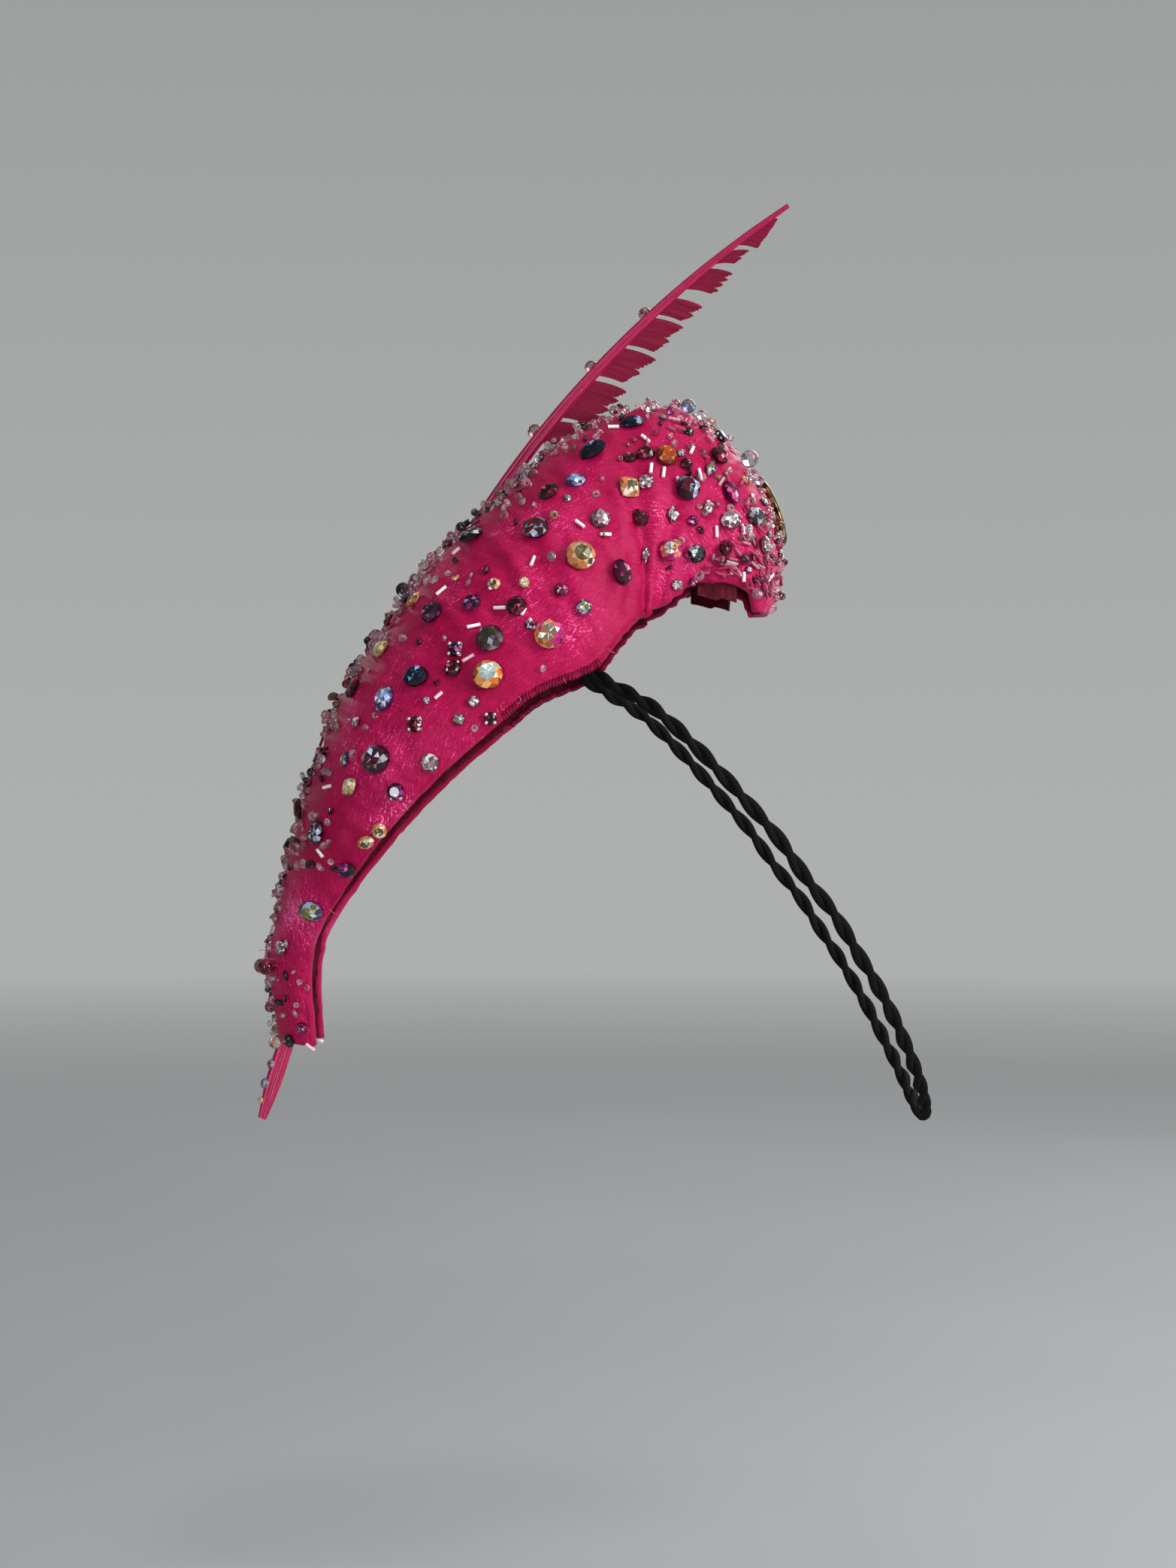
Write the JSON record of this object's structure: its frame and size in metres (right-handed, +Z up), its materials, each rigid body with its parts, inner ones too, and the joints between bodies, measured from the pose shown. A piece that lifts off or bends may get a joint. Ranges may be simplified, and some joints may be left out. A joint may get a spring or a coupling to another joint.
{
  "type": "feather cap",
  "caption": "Curved satin cap with a forehead peak and a curled rear lobe, sewn with crystals, one quill feather and an elastic loop.",
  "frame": {"origin": "crest of the head, where the cap sits", "axes": "+Z up, -X towards the face, -Y towards the wearer's left side"},
  "size_m": [0.1954, 0.1432, 0.2666],
  "materials": {
    "pink_satin": "hot pink satin stretched over a stiff base",
    "dark_satin": "dark red satin",
    "quill": "dyed quill, glossy shaft with matt barbs",
    "antique_gold": "antique gold, worn bright on the edges",
    "black_elastic": "black braided cover over elastic",
    "glass_aurora_amber": "cut glass with a foiled back",
    "glass_jet_green": "cut glass with a foiled back",
    "glass_aurora": "cut glass with a foiled back",
    "glass_peach": "cut glass with a foiled back",
    "glass_jet_aurora": "cut glass with a foiled back",
    "glass_ruby_plum": "cut glass with a foiled back",
    "glass_smoke": "cut glass with a foiled back",
    "glass_amber": "cut glass with a foiled back",
    "glass_navy": "cut glass with a foiled back",
    "glass_clear_blue": "cut glass with a foiled back",
    "glass_ruby": "cut glass with a foiled back",
    "glass_clear": "cut glass with a foiled back",
    "glass_plum": "cut glass with a foiled back",
    "glass_jet": "cut glass with a foiled back",
    "glass_foil": "cut glass with a foiled back",
    "glass_aurora_yellow": "cut glass with a foiled back",
    "glass_fuchsia": "cut glass with a foiled back"
  },
  "bodies": {
    "root": {"cap_shell": "pink_satin", "lining_left": "dark_satin", "lining_right": "dark_satin", "feather": "quill", "gold_ring": "antique_gold", "elastic": "black_elastic", "crystal_01": "glass_aurora_amber", "crystal_02": "glass_jet_green", "crystal_03": "glass_aurora", "crystal_04": "glass_peach", "crystal_05": "glass_jet_aurora", "crystal_06": "glass_ruby_plum", "crystal_07": "glass_aurora", "crystal_08": "glass_smoke", "crystal_09": "glass_jet_aurora", "crystal_10": "glass_amber", "crystal_11": "glass_navy", "crystal_12": "glass_navy", "crystal_13": "glass_clear_blue", "crystal_14": "glass_peach", "crystal_15": "glass_ruby", "crystal_16": "glass_clear", "crystal_17": "glass_ruby", "crystal_18": "glass_plum", "crystal_19": "glass_plum", "crystal_20": "glass_jet", "crystal_21": "glass_navy", "crystal_22": "glass_clear_blue", "crystal_23": "glass_foil", "crystal_24": "glass_ruby", "crystal_25": "glass_jet_aurora", "crystal_26": "glass_clear", "crystal_27": "glass_plum", "crystal_28": "glass_ruby", "crystal_29": "glass_ruby", "crystal_30": "glass_jet_aurora", "crystal_31": "glass_plum", "crystal_32": "glass_aurora_yellow", "crystal_33": "glass_clear", "crystal_34": "glass_ruby", "crystal_35": "glass_smoke", "crystal_36": "glass_fuchsia", "crystal_37": "glass_ruby", "crystal_38": "glass_clear", "crystal_39": "glass_ruby", "crystal_40": "glass_jet"}
  },
  "joints": []
}
